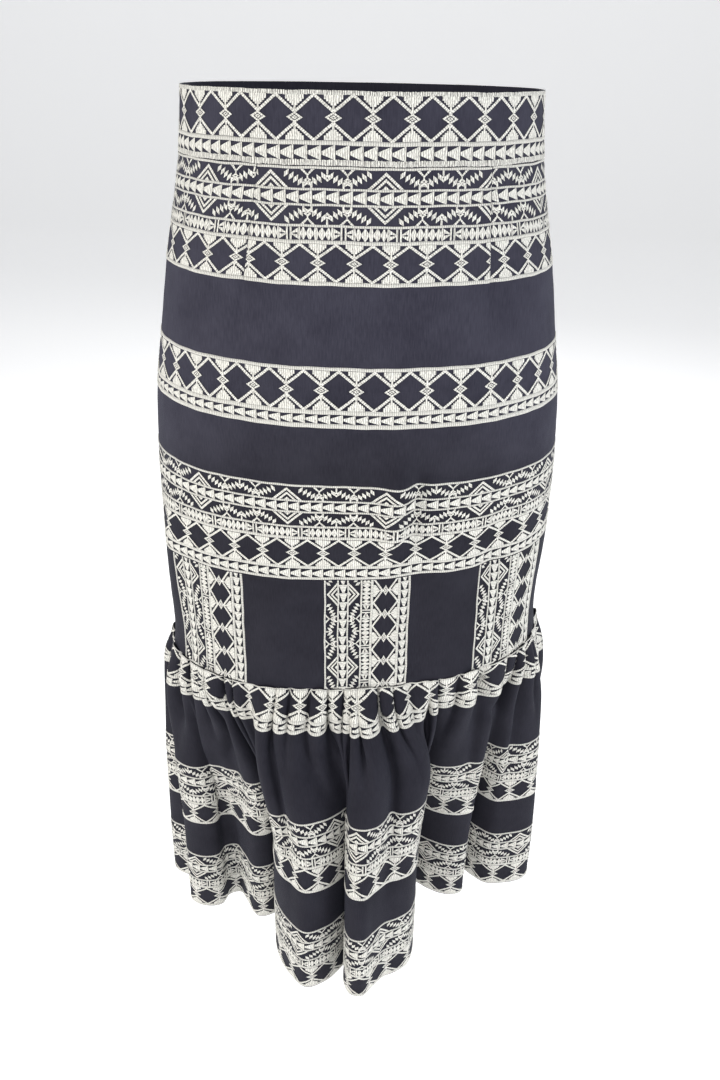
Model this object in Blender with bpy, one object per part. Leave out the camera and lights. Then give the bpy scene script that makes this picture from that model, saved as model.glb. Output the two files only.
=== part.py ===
"""Maxi skirt in its worn, hollow form: a fitted waistband, a darted tube and one gathered flounce.

Metres, +Z up. The origin is the centre of the waist opening, level with the top edge of the
waistband. The skirt's back faces -Y. Every piece is a flat slab of cloth, cut between its seams and
then draped: each point of the slab is placed by how far round the figure it lies, how far down the
cloth, and on which skin of the wall.
"""

import math
from collections import namedtuple

import bmesh
import bpy
import numpy as np

COLLECTION = "maxi_skirt"

# Walls and seams
SKIRT_WALL = 0.0016
WAISTBAND_WALL = 0.0022
SEAM_GAP = 0.0003

# Cut lengths, measured down the cloth
WAISTBAND_DEPTH = 0.050
SEAM_DROP = 0.525
FLOUNCE_CUT = 0.368

# Level outlines of the worn skirt, from the waist down. The last four carry the flounce.
SQUARENESS = 2.2
Ring = namedtuple("Ring", "drop half_width back_depth front_depth right_lift")
RINGS = (
    Ring(0.000, 0.1486, 0.1170, 0.1080, 0.000),
    Ring(0.050, 0.1535, 0.1231, 0.1140, 0.000),
    Ring(0.136, 0.1707, 0.1321, 0.1220, 0.000),
    Ring(0.198, 0.1807, 0.1399, 0.1250, 0.000),
    Ring(0.248, 0.1885, 0.1430, 0.1260, 0.000),
    Ring(0.303, 0.1930, 0.1365, 0.1260, 0.002),
    Ring(0.401, 0.1954, 0.1275, 0.1250, 0.009),
    Ring(0.525, 0.1954, 0.1286, 0.1270, 0.013),
    Ring(0.560, 0.2035, 0.1310, 0.1300, 0.013),
    Ring(0.640, 0.2100, 0.1290, 0.1340, 0.013),
    Ring(0.750, 0.2130, 0.1260, 0.1360, 0.013),
    Ring(0.900, 0.2140, 0.1250, 0.1370, 0.013),
)

# Darts and drag lines of the fitted tube. A line runs from (top_at, top_drop) to (bottom_at,
# bottom_drop), at being measured round the cloth from the middle of its panel. out is the height of
# the ridge, negative in a groove. start and end are the shares of it left at the two ends.
Crease = namedtuple("Crease", "top_at bottom_at top_drop bottom_drop out half_width start end")
BACK_DARTS = (
    Crease(-0.079, -0.104, 0.050, 0.200, -0.0014, 0.004, 1.0, 0.0),
    Crease(0.105, 0.111, 0.050, 0.200, -0.0014, 0.004, 1.0, 0.0),
)
FRONT_DARTS = (
    Crease(-0.092, -0.100, 0.050, 0.140, -0.0014, 0.004, 1.0, 0.0),
    Crease(0.092, 0.100, 0.050, 0.140, -0.0014, 0.004, 1.0, 0.0),
)
BACK_DRAG_LINES = (
    Crease(0.042, 0.052, 0.280, 0.525, -0.0045, 0.017, 0.0, 0.6),
    Crease(-0.182, -0.222, 0.310, 0.525, 0.0040, 0.020, 0.0, 0.5),
    Crease(0.152, 0.118, 0.310, 0.470, -0.0040, 0.015, 0.0, 0.0),
    Crease(-0.060, -0.090, 0.390, 0.525, 0.0030, 0.022, 0.0, 0.6),
)
FRONT_DRAG_LINES = (
    Crease(-0.070, -0.055, 0.300, 0.525, -0.0040, 0.018, 0.0, 0.6),
    Crease(0.085, 0.110, 0.330, 0.525, 0.0040, 0.020, 0.0, 0.5),
    Crease(0.190, 0.160, 0.300, 0.480, -0.0035, 0.016, 0.0, 0.0),
    Crease(-0.200, -0.180, 0.340, 0.525, 0.0035, 0.018, 0.0, 0.5),
)

# Large folds of the hem: at is measured round the plain hem outline from the centre back, and out is
# how far the cloth stands off that outline there.
Fold = namedtuple("Fold", "at out")
HEM_FOLDS = (
    Fold(-0.265, 0.012),
    Fold(-0.236, -0.014),
    Fold(-0.203, 0.006),
    Fold(-0.164, -0.034),
    Fold(-0.127, -0.016),
    Fold(-0.098, -0.040),
    Fold(-0.080, 0.004),
    Fold(-0.060, 0.050),
    Fold(-0.038, 0.069),
    Fold(-0.017, 0.048),
    Fold(-0.004, 0.029),
    Fold(0.012, 0.072),
    Fold(0.040, 0.042),
    Fold(0.066, 0.033),
    Fold(0.077, -0.030),
    Fold(0.094, -0.066),
    Fold(0.125, -0.050),
    Fold(0.152, -0.036),
    Fold(0.180, -0.058),
    Fold(0.207, -0.010),
    Fold(0.240, 0.012),
    Fold(0.268, -0.010),
    Fold(0.300, 0.016),
    Fold(0.335, -0.020),
    Fold(0.375, 0.024),
    Fold(0.412, -0.022),
    Fold(0.450, 0.018),
    Fold(0.488, -0.018),
    Fold(0.530, 0.026),
    Fold(0.570, -0.024),
    Fold(0.612, 0.022),
    Fold(0.650, -0.022),
    Fold(0.692, 0.020),
    Fold(0.730, -0.020),
    Fold(0.772, 0.020),
    Fold(0.808, -0.012),
)

# Gathers at the flounce's seam, which run into wider folds lower down and then into the hem's.
GATHERS = 38
MIDDLE_FOLDS = 24
GATHER_SWING = 1.28  # steepest turn of the gathered cloth, in radians
GATHER_SPREAD = 0.100  # stretch of cloth over which the gathers leave no bulge
GATHERS_END = 0.60  # share of the cut where the last gather has faded
SEAM_PRESS = 0.35  # share of the gathers' height that the stitching leaves
SEAM_PRESS_END = 0.05
FLOUNCE_SIDE_SEAMS = (-0.460, 0.4505)  # round the cloth from the centre back
FOLDS_AT_SEAM = 0.06
FOLD_GROWTH = 0.85
FOLLOW_AT_SEAM = 0.45  # how closely the seam's cloth is bunched as the hem's is
FOLLOW_END = 0.55

# Fineness of the draped slabs
RING_STEPS = 1440
CLOTH_STEPS = 2400
GATHER_COLUMNS = 6
FLOUNCE_ROWS = (0.0, 0.012, 0.04, 0.08, 0.14, 0.22, 0.34, 0.50, 0.73, 1.0)
TUBE_SPANS = 15
WAISTBAND_SPANS = 3
SIDE_COLUMNS = 9
MIDDLE_COLUMNS = 4
WAISTBAND_COLUMNS = 30

# Colours, linear
NAVY = (0.020, 0.021, 0.034, 1.0)
NAVY_BAND = (0.048, 0.049, 0.060, 1.0)
CLOTH_ROUGHNESS = 0.86


def ease(low, high, x):
    """0 below low, 1 above high, smooth between."""
    q = np.clip((np.asarray(x, float) - low) / (high - low), 0, 1)
    return q * q * (3 - 2 * q)


def through(knots, values, x):
    """The smooth curve through a short table, read at x."""
    slopes = np.gradient(values, knots)
    cell = np.clip(np.searchsorted(knots, x) - 1, 0, len(knots) - 2)
    width = knots[cell + 1] - knots[cell]
    q = (x - knots[cell]) / width
    before, after = values[cell], values[cell + 1]
    turn_out, turn_in = slopes[cell] * width, slopes[cell + 1] * width
    return (
        before * (1 + 2 * q) * (1 - q) ** 2
        + turn_out * q * (1 - q) ** 2
        + after * q * q * (3 - 2 * q)
        + turn_in * q * q * (q - 1)
    )


def ring_sizes(drop):
    """The outline's sizes at any drop, as a Ring."""
    table = np.array(RINGS)
    columns = [float(through(table[:, 0], table[:, k], np.array(drop))) for k in range(1, 5)]
    return Ring(drop, *columns)


class Outline:
    """One level outline, walked from the centre back, positive towards +X.

    at holds the walked lengths, x and y the points, out_x and out_y the outward normals, bend the
    curvature, and side the length at which +X is reached.
    """

    def __init__(self, drop):
        self.sizes = ring_sizes(drop)
        turn = np.linspace(-math.pi, math.pi, RING_STEPS + 1)
        power = 2 / SQUARENESS
        across, along = np.sin(turn), np.cos(turn)
        depth = np.where(along > 0, self.sizes.back_depth, self.sizes.front_depth)
        x = self.sizes.half_width * np.sign(across) * np.abs(across) ** power
        y = -depth * np.sign(along) * np.abs(along) ** power
        walked = np.concatenate([[0], np.cumsum(np.hypot(np.diff(x), np.diff(y)))])
        middle, side = walked[RING_STEPS // 2], walked[3 * RING_STEPS // 4]
        even = np.linspace(0, walked[-1], RING_STEPS // 2 + 1)
        self.length = walked[-1]
        self.side = side - middle
        self.at = even - middle
        self.x, self.y = np.interp(even, walked, x), np.interp(even, walked, y)
        along_x, along_y = self.slope(self.x), self.slope(self.y)
        size = np.hypot(along_x, along_y)
        self.out_x, self.out_y = along_y / size, -along_x / size
        self.bend = self.slope(np.unwrap(np.arctan2(along_y, along_x)))

    def slope(self, values):
        rate = np.gradient(values, self.at)
        rate[0] = rate[-1] = 0.5 * (rate[0] + rate[-1])
        return rate

    def read(self, values, at):
        """values at any walked length, past the two ends too."""
        return np.interp((at - self.at[0]) % self.length + self.at[0], self.at, values)

    def place(self, at, out):
        """Points that stand out from the outline by out."""
        x = self.read(self.x, at) + out * self.read(self.out_x, at)
        y = self.read(self.y, at) + out * self.read(self.out_y, at)
        return x, y


def lifted(drop, x):
    """Height of the cloth at this drop: the skirt hangs a little higher on its right side."""
    sizes = ring_sizes(drop)
    return -drop + sizes.right_lift * x / sizes.half_width


def crease_height(creases, at, drop):
    """How far the darts and drag lines lift or sink the cloth here."""
    height = np.zeros_like(at)
    for c in creases:
        q = (drop - c.top_drop) / (c.bottom_drop - c.top_drop)
        if not 0 <= q <= 1:
            continue
        line = c.top_at + (c.bottom_at - c.top_at) * q
        top = c.start + (1 - c.start) * ease(0, 0.35, q)
        bottom = c.end + (1 - c.end) * (1 - ease(0.65, 1, q))
        height = height + c.out * top * bottom * np.exp(-(((at - line) / c.half_width) ** 2))
    return height


def dart_line(dart, drop):
    """Where a dart lies at this drop; its line is carried on straight below its tip."""
    q = (drop - dart.top_drop) / (dart.bottom_drop - dart.top_drop)
    return dart.top_at + (dart.bottom_at - dart.top_at) * q


def tube_columns(drop, side, darts):
    """Walked lengths of the slab's columns at this drop, with three of them on each dart."""
    left, right = (dart_line(d, drop) for d in darts)
    fold = darts[0].half_width
    edge = side - 0.5 * SEAM_GAP
    stops = (-edge, left - fold, left, left + fold, 0.0, right - fold, right, right + fold, edge)
    counts = (SIDE_COLUMNS, 1, 1, MIDDLE_COLUMNS, MIDDLE_COLUMNS, 1, 1, SIDE_COLUMNS)
    at = [np.linspace(a, b, n, endpoint=False) for a, b, n in zip(stops, stops[1:], counts)]
    return np.concatenate(at + [[edge]])


def tube_row(drop, front, darts, drag_lines):
    """One row of a tube panel: points and outward directions."""
    outline = Outline(drop)
    middle = 0.5 * outline.length if front else 0.0
    side = 0.5 * outline.length - outline.side if front else outline.side
    at = tube_columns(drop, side, darts)
    out = crease_height(darts + drag_lines, at, drop)
    x, y = outline.place(at + middle, out)
    directions = outline.read(outline.out_x, at + middle), outline.read(outline.out_y, at + middle)
    return x, y, lifted(drop, x), *directions


def waistband_row(drop, front):
    """One row of a waistband panel."""
    outline = Outline(drop)
    middle = 0.5 * outline.length if front else 0.0
    side = 0.5 * outline.length - outline.side if front else outline.side
    at = np.linspace(-side + 0.5 * SEAM_GAP, side - 0.5 * SEAM_GAP, WAISTBAND_COLUMNS + 1)
    x, y = outline.place(at + middle, np.zeros_like(at))
    directions = outline.read(outline.out_x, at + middle), outline.read(outline.out_y, at + middle)
    return x, y, lifted(drop, x), *directions


class Flounce:
    """The gathered tier: where each point of its cloth lies, from the seam down to the hem.

    cloth is measured round the flat cloth from the centre back. The cloth's length round is that of
    the folded hem, so the hem is as wide as it was cut, and the seam takes the rest up in gathers.
    """

    def __init__(self):
        hem = Outline(SEAM_DROP + FLOUNCE_CUT)
        rows = len(HEM_FOLDS)
        at = np.array([f.at for f in HEM_FOLDS])
        out = np.array([f.out for f in HEM_FOLDS])
        at = np.concatenate([at[-2:] - hem.length, at, at[:3] + hem.length])
        out = np.concatenate([out[-2:], out, out[:3]])
        chord = np.concatenate([[0], np.cumsum(np.hypot(np.diff(at), np.diff(out)) ** 0.75)])
        fine = np.linspace(chord[2], chord[2 + rows], 4000)
        around, off = through(chord, at, fine), through(chord, out, fine)
        bend = hem.read(hem.bend, around)
        stretch = 1 + 0.5 * (bend[1:] * off[1:] + bend[:-1] * off[:-1])
        walked = np.concatenate([[0], np.cumsum(np.hypot(np.diff(around) * stretch, np.diff(off)))])
        self.round = walked[-1]
        walked = walked - np.interp(0.0, around, walked)
        self.cloth = np.linspace(-self.round / 2, self.round / 2, CLOTH_STEPS + 1)
        self.step = self.round / CLOTH_STEPS
        self.hem_length = hem.length
        self.hem_at = self.repeated(walked, around, hem.length)
        self.hem_out = self.repeated(walked, off, 0.0)
        self.gathers = self.ripple(GATHERS, 0.7)
        self.middle_folds = self.ripple(MIDDLE_FOLDS, 2.9)

    def repeated(self, walked, values, gain):
        """values on the even cloth lengths, though they were worked out over another full round."""
        rounds = [walked - self.round, walked, walked + self.round]
        return np.interp(
            self.cloth, np.concatenate(rounds), np.concatenate([values - gain, values, values + gain])
        )

    def ripple(self, count, start):
        """An uneven row of waves round the cloth."""
        turn = 2 * math.pi * self.cloth / self.round
        phase = count * turn + 1.1 * np.sin(3 * turn + start) + 0.8 * np.sin(7 * turn + 2.3 * start)
        size = 1 + 0.22 * np.sin(5 * turn + 1.7 * start) + 0.18 * np.sin(11 * turn + 0.6 * start)
        return size * np.sin(phase)

    def without_bulge(self, height):
        """height less its running mean, so that gathers don't move the whole wall."""
        count = int(GATHER_SPREAD / self.step) | 1
        kernel = np.hanning(count + 2)[1:-1]
        kernel /= kernel.sum()
        body = height[:-1]
        half = count // 2
        mean = np.convolve(np.concatenate([body[-half:], body, body[:half]]), kernel, "valid")
        return height - np.concatenate([mean, mean[:1]])

    def walk(self, rate):
        return np.concatenate([[0], np.cumsum(0.5 * (rate[1:] + rate[:-1]) * self.step)])

    def row(self, share):
        """All points of the cloth at this share of its cut, from 0 at the seam to 1 at the hem."""
        outline = Outline(SEAM_DROP + share * FLOUNCE_CUT)
        grown = FOLDS_AT_SEAM + (1 - FOLDS_AT_SEAM) * math.sin(0.5 * math.pi * share) ** FOLD_GROWTH
        merged = ease(0.02, 0.35, share)
        swing = GATHER_SWING * (1 - ease(0.0, GATHERS_END, share))
        turn = swing * ((1 - merged) * self.gathers + merged * self.middle_folds)
        around = self.walk(np.cos(turn))
        around = (around - around[CLOTH_STEPS // 2]) / around[-1]
        height = self.walk(np.sin(turn))
        height = self.without_bulge(height - height[-1] * np.linspace(0, 1, CLOTH_STEPS + 1))
        follow = FOLLOW_AT_SEAM + (1 - FOLLOW_AT_SEAM) * ease(0.0, FOLLOW_END, share)
        bunched = self.hem_at / self.hem_length - self.cloth / self.round
        at = (around + follow * bunched) * outline.length
        press = SEAM_PRESS + (1 - SEAM_PRESS) * ease(0.0, SEAM_PRESS_END, share)
        x, y = outline.place(at, press * height + grown * self.hem_out)
        hang = np.sqrt(FLOUNCE_CUT**2 - self.hem_out**2)
        drop = SEAM_DROP + SEAM_GAP + share * hang
        tilt = outline.sizes.right_lift / outline.sizes.half_width
        along_x, along_y = np.gradient(x), np.gradient(y)
        size = np.hypot(along_x, along_y)
        return x, y, -drop + tilt * x, along_y / size, -along_x / size

    def panel_row(self, share, front):
        """One row of a flounce panel, from one side seam to the other."""
        left, right = FLOUNCE_SIDE_SEAMS
        first, last = (right, left + self.round) if front else (left, right)
        columns = round(GATHERS * GATHER_COLUMNS * (last - first) / self.round)
        at = np.linspace(first + 0.5 * SEAM_GAP, last - 0.5 * SEAM_GAP, columns + 1)
        at = (at + self.round / 2) % self.round - self.round / 2
        return [np.interp(at, self.cloth, values) for values in self.row(share)]


def cloth_material(name, colour):
    material = bpy.data.materials.new(name)
    material.use_nodes = True
    shader = material.node_tree.nodes["Principled BSDF"]
    shader.inputs["Base Color"].default_value = colour
    shader.inputs["Roughness"].default_value = CLOTH_ROUGHNESS
    shader.inputs["Metallic"].default_value = 0.0
    return material


def cloth_piece(name, rows, wall, colour, collection):
    """A flat slab of cloth with a column and row for every given point, draped onto those points."""
    columns = len(rows[0][0]) - 1
    spans = len(rows) - 1
    slab = bmesh.new()
    bmesh.ops.create_grid(slab, x_segments=columns, y_segments=spans, size=0.5)
    bmesh.ops.solidify(slab, geom=slab.faces[:], thickness=1.0)
    lowest = min(v.co.z for v in slab.verts)
    for vertex in slab.verts:
        column = round((vertex.co.x + 0.5) * columns)
        row = round((0.5 - vertex.co.y) * spans)
        skin = 0.5 if vertex.co.z < lowest + 0.5 else -0.5
        x, y, z, out_x, out_y = (float(values[column]) for values in rows[row])
        vertex.co = (x + skin * wall * out_x, y + skin * wall * out_y, z)
    if slab.calc_volume(signed=True) < 0:
        bmesh.ops.reverse_faces(slab, faces=slab.faces[:])
    mesh = bpy.data.meshes.new(name)
    slab.to_mesh(mesh)
    slab.free()
    mesh.shade_smooth()
    mesh.set_sharp_from_angle(angle=math.radians(50))
    mesh.materials.append(cloth_material(name + "_cloth", colour))
    piece = bpy.data.objects.new(name, mesh)
    collection.objects.link(piece)
    return piece


def clear_scene():
    for item in list(bpy.data.objects):
        bpy.data.objects.remove(item, do_unlink=True)


def build():
    clear_scene()
    collection = bpy.data.collections.new(COLLECTION)
    bpy.context.scene.collection.children.link(collection)
    flounce = Flounce()
    sides = (
        ("back", False, BACK_DARTS, BACK_DRAG_LINES),
        ("front", True, FRONT_DARTS, FRONT_DRAG_LINES),
    )
    for side, front, darts, drag_lines in sides:
        band_drops = np.linspace(0.0, WAISTBAND_DEPTH, WAISTBAND_SPANS + 1)
        band = [waistband_row(drop, front) for drop in band_drops]
        cloth_piece("waistband_" + side, band, WAISTBAND_WALL, NAVY_BAND, collection)
        tube_drops = np.linspace(WAISTBAND_DEPTH + SEAM_GAP, SEAM_DROP, TUBE_SPANS + 1)
        tube = [tube_row(drop, front, darts, drag_lines) for drop in tube_drops]
        cloth_piece("skirt_" + side, tube, SKIRT_WALL, NAVY, collection)
        tier = [flounce.panel_row(share, front) for share in FLOUNCE_ROWS]
        cloth_piece("flounce_" + side, tier, SKIRT_WALL, NAVY, collection)


build()
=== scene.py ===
import math
from collections import namedtuple

import bmesh
import bpy
import numpy as np
from mathutils import Matrix, Vector


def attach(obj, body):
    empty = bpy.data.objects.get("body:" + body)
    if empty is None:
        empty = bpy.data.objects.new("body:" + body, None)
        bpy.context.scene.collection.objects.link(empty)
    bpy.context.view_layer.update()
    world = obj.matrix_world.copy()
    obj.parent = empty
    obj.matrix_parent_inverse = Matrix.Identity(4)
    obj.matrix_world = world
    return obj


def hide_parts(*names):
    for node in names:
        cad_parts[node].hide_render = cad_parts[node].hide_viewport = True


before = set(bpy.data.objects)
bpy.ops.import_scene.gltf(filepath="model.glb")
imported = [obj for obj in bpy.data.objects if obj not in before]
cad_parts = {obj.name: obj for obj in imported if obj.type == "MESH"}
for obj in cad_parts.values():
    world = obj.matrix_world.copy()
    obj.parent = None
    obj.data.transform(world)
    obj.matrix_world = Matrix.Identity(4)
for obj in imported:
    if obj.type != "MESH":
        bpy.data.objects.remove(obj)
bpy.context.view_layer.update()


# The studio: a plain pale floor that rises behind into a plain wall, a camera behind the skirt and a
# little above its waist, pitched down, and large soft lights.
FLOOR_BELOW_WAIST = 1.12
FLOOR_SIZE = 9.0
WALL_HEIGHT = 4.0
CAMERA_PLACE = (0.005, -0.839, 0.023)
CAMERA_PITCH_DOWN = 28.31
CAMERA_ROLL = 1.07
CAMERA_FOCUS = 901.0  # focal length in pixels of the 720 x 1080 picture
PICTURE_HEIGHT = 1080.0
SENSOR = 36.0
WALL_ROUND = 1.4


def select_edges(mesh, wanted):
    """Select only the edges whose two ends are both wanted."""
    bpy.ops.mesh.select_all(action="DESELECT")
    shape = bmesh.from_edit_mesh(mesh)
    for edge in shape.edges:
        edge.select_set(all(wanted(vert.co) for vert in edge.verts))
    bmesh.update_edit_mesh(mesh)


def new_material(name, looks):
    """A new material, with these looks on its shader."""
    material = bpy.data.materials.new(name)
    material.use_nodes = True
    for word, value in looks.items():
        material.node_tree.nodes["Principled BSDF"].inputs[word].default_value = value
    return material


bpy.ops.object.select_all(action="DESELECT")
bpy.ops.mesh.primitive_plane_add(size=FLOOR_SIZE, location=(0, 1.5, -FLOOR_BELOW_WAIST))
floor = bpy.context.object
floor.name = "floor"
bpy.ops.object.mode_set(mode="EDIT")
select_edges(floor.data, lambda place: place.y > 0)
bpy.ops.mesh.extrude_region_move(TRANSFORM_OT_translate={"value": (0, 0, WALL_HEIGHT)})
select_edges(floor.data, lambda place: place.y > 0 and place.z < 1)
bpy.ops.mesh.bevel(offset=WALL_ROUND, segments=14)
bpy.ops.object.mode_set(mode="OBJECT")
bpy.ops.object.shade_smooth()
bpy.ops.object.transform_apply(location=True, rotation=True, scale=True)
floor_looks = {
    "Base Color": (0.88, 0.88, 0.88, 1),
    "Roughness": 0.85,
    "Emission Color": (1, 1, 1, 1),
    "Emission Strength": 0.35,
}
floor.data.materials.append(new_material("pale_floor", floor_looks))

bpy.ops.object.camera_add()
camera = bpy.context.object
camera.name = "camera"
tilt = Matrix.Rotation(math.radians(90 - CAMERA_PITCH_DOWN), 4, "X")
roll = Matrix.Rotation(math.radians(CAMERA_ROLL), 4, "Z")
camera.matrix_world = Matrix.Translation(CAMERA_PLACE) @ tilt @ roll
camera.data.sensor_width = SENSOR
camera.data.lens = SENSOR * CAMERA_FOCUS / PICTURE_HEIGHT
camera.data.clip_start = 0.02
bpy.context.scene.camera = camera

Lamp = namedtuple("Lamp", "name place aim size power colour")
LAMPS = (
    Lamp("key", (-1.9, -0.95, 0.08), (0, 0, -0.65), 1.0, 40.0, (1.0, 0.98, 0.95)),
    Lamp("fill", (1.9, -0.95, 0.00), (0, 0, -0.65), 1.0, 37.0, (0.95, 0.97, 1.0)),
    Lamp("front", (0.0, -2.4, -0.40), (0, 0, -0.70), 1.2, 18.0, (1.0, 1.0, 1.0)),
    Lamp("behind", (0.6, 2.0, 1.2), (0, 0, -0.40), 1.6, 30.0, (1.0, 1.0, 1.0)),
)
for lamp in LAMPS:
    bpy.ops.object.light_add(type="AREA", location=lamp.place)
    light = bpy.context.object
    light.name = lamp.name + "_light"
    light.data.size = lamp.size
    light.data.energy = lamp.power
    light.data.color = lamp.colour
    aim = Vector(lamp.aim) - Vector(lamp.place)
    light.rotation_euler = aim.to_track_quat("-Z", "Y").to_euler()

sky = bpy.data.worlds.new("sky")
sky.use_nodes = True
sky.node_tree.nodes["Background"].inputs["Color"].default_value = (0.94, 0.96, 1.00, 1)
sky.node_tree.nodes["Background"].inputs["Strength"].default_value = 0.42
bpy.context.scene.world = sky
bpy.context.scene.view_settings.view_transform = "Standard"


# The worn form. The skirt is cut close to a general figure, so its cloth lies on level outlines whose
# half widths and depths run smoothly from the waist down. A place on it is the length walked round
# from the centre back, positive towards +X, and the drop below the waistband's top edge.
SQUARENESS = 2.2
RING_STEPS = 1440
Ring = namedtuple("Ring", "drop half_width back_depth front_depth right_lift")
RINGS = (
    Ring(0.000, 0.1486, 0.1170, 0.1080, 0.000),
    Ring(0.050, 0.1535, 0.1231, 0.1140, 0.000),
    Ring(0.136, 0.1707, 0.1321, 0.1220, 0.000),
    Ring(0.198, 0.1807, 0.1399, 0.1250, 0.000),
    Ring(0.248, 0.1885, 0.1430, 0.1260, 0.000),
    Ring(0.303, 0.1930, 0.1365, 0.1260, 0.002),
    Ring(0.401, 0.1954, 0.1275, 0.1250, 0.009),
    Ring(0.525, 0.1954, 0.1286, 0.1270, 0.013),
    Ring(0.560, 0.2035, 0.1310, 0.1300, 0.013),
    Ring(0.640, 0.2100, 0.1290, 0.1340, 0.013),
    Ring(0.750, 0.2130, 0.1260, 0.1360, 0.013),
    Ring(0.900, 0.2140, 0.1250, 0.1370, 0.013),
)


def ease(low, high, x):
    """0 below low, 1 above high, smooth between."""
    q = np.clip((np.asarray(x, float) - low) / (high - low), 0, 1)
    return q * q * (3 - 2 * q)


def through(knots, values, x):
    """The smooth curve through a short table, read at x."""
    slopes = np.gradient(values, knots)
    cell = np.clip(np.searchsorted(knots, x) - 1, 0, len(knots) - 2)
    width = knots[cell + 1] - knots[cell]
    q = (x - knots[cell]) / width
    before, after = values[cell], values[cell + 1]
    turn_out, turn_in = slopes[cell] * width, slopes[cell + 1] * width
    return (
        before * (1 + 2 * q) * (1 - q) ** 2
        + turn_out * q * (1 - q) ** 2
        + after * q * q * (3 - 2 * q)
        + turn_in * q * q * (q - 1)
    )


class Outline:
    """One level outline, walked from the centre back.

    at holds the walked lengths, x and y the points, out_x and out_y the outward normals, bend the
    curvature, and side the length at which +X is reached.
    """

    def __init__(self, drop):
        table = np.array(RINGS)
        sizes = [float(through(table[:, 0], table[:, k], np.array(drop))) for k in range(1, 5)]
        self.half_width, self.back_depth, self.front_depth, self.right_lift = sizes
        turn = np.linspace(-math.pi, math.pi, RING_STEPS + 1)
        power = 2 / SQUARENESS
        across, along = np.sin(turn), np.cos(turn)
        depth = np.where(along > 0, self.back_depth, self.front_depth)
        x = self.half_width * np.sign(across) * np.abs(across) ** power
        y = -depth * np.sign(along) * np.abs(along) ** power
        walked = np.concatenate([[0], np.cumsum(np.hypot(np.diff(x), np.diff(y)))])
        middle, side = walked[RING_STEPS // 2], walked[3 * RING_STEPS // 4]
        even = np.linspace(0, walked[-1], RING_STEPS // 2 + 1)
        self.length = walked[-1]
        self.side = side - middle
        self.at = even - middle
        self.x, self.y = np.interp(even, walked, x), np.interp(even, walked, y)
        along_x, along_y = self.slope(self.x), self.slope(self.y)
        size = np.hypot(along_x, along_y)
        self.out_x, self.out_y = along_y / size, -along_x / size
        self.bend = self.slope(np.unwrap(np.arctan2(along_y, along_x)))

    def slope(self, values):
        rate = np.gradient(values, self.at)
        rate[0] = rate[-1] = 0.5 * (rate[0] + rate[-1])
        return rate

    def read(self, values, at):
        """values at any walked length, past the two ends too."""
        return np.interp((at - self.at[0]) % self.length + self.at[0], self.at, values)

    def place(self, at, out):
        """Points that stand out from the outline by out."""
        x = self.read(self.x, at) + out * self.read(self.out_x, at)
        y = self.read(self.y, at) + out * self.read(self.out_y, at)
        return x, y


class Surface:
    """A draped cloth as a closed round lattice of points, rows down the cloth and columns round it."""

    def __init__(self, rows):
        self.points = np.array([np.stack(row, axis=1) for row in rows])
        down = np.gradient(self.points, axis=0)
        loop = self.points[:, :-1]
        across = np.roll(loop, -1, axis=1) - np.roll(loop, 1, axis=1)
        across = np.concatenate([across, across[:, :1]], axis=1)
        out = np.cross(down, across)
        self.normals = out / np.linalg.norm(out, axis=2, keepdims=True)

    def read(self, row_share, round_share, out):
        """Points at these shares of the way down and round, standing out by out."""
        rows, columns = self.points.shape[0] - 1, self.points.shape[1] - 1
        down = np.clip(row_share, 0, 1) * rows
        top = np.minimum(down.astype(int), rows - 1)
        down = (down - top)[:, None]
        around = (np.asarray(round_share) % 1.0) * columns
        left = np.minimum(around.astype(int), columns - 1)
        around = (around - left)[:, None]
        mixed = []
        for lattice in (self.points, self.normals):
            upper = lattice[top, left] * (1 - around) + lattice[top, left + 1] * around
            lower = lattice[top + 1, left] * (1 - around) + lattice[top + 1, left + 1] * around
            mixed.append(upper * (1 - down) + lower * down)
        return mixed[0] + mixed[1] * np.asarray(out)[:, None]


# The fitted tube, back and front: the waistband and the skirt below it, to the flounce's seam. Darts
# take it in at the waist. Soft drag lines run down to the knees, and the stitching draws the cloth
# of the embroidered bands into faint puckers.
WAISTBAND_DEPTH = 0.050
SEAM_DROP = 0.525
SEAM_GAP = 0.0003
TUBE_ROWS = 264
CREASE_WORDS = "top_at bottom_at top_drop bottom_drop out half_width start end"
Crease = namedtuple("Crease", CREASE_WORDS, defaults=(0.0, 0.0))
BACK_DARTS = (
    Crease(-0.079, -0.104, 0.05, 0.2, -0.0014, 0.004, 1.0),
    Crease(0.105, 0.111, 0.05, 0.2, -0.0014, 0.004, 1.0),
)
FRONT_DARTS = (
    Crease(-0.092, -0.1, 0.05, 0.14, -0.0014, 0.004, 1.0),
    Crease(0.092, 0.1, 0.05, 0.14, -0.0014, 0.004, 1.0),
)
BACK_DRAG_LINES = (
    Crease(0.06, 0.062, 0.33, 0.525, -0.004, 0.017, 0.0, 0.6),
    Crease(0.038, 0.034, 0.262, 0.392, 0.0085, 0.014),
    Crease(0.056, 0.05, 0.266, 0.388, -0.006, 0.008),
    Crease(-0.182, -0.222, 0.31, 0.525, 0.004, 0.02, 0.0, 0.5),
    Crease(0.152, 0.118, 0.31, 0.47, -0.004, 0.015),
    Crease(-0.06, -0.09, 0.39, 0.525, 0.003, 0.022, 0.0, 0.6),
)
FRONT_DRAG_LINES = (
    Crease(-0.07, -0.055, 0.3, 0.525, -0.004, 0.018, 0.0, 0.6),
    Crease(0.085, 0.11, 0.33, 0.525, 0.004, 0.02, 0.0, 0.5),
    Crease(0.19, 0.16, 0.3, 0.48, -0.0035, 0.016),
    Crease(-0.2, -0.18, 0.34, 0.525, 0.0035, 0.018, 0.0, 0.5),
)
PUCKER = 0.00012
PUCKER_LENGTH = 0.019


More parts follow.
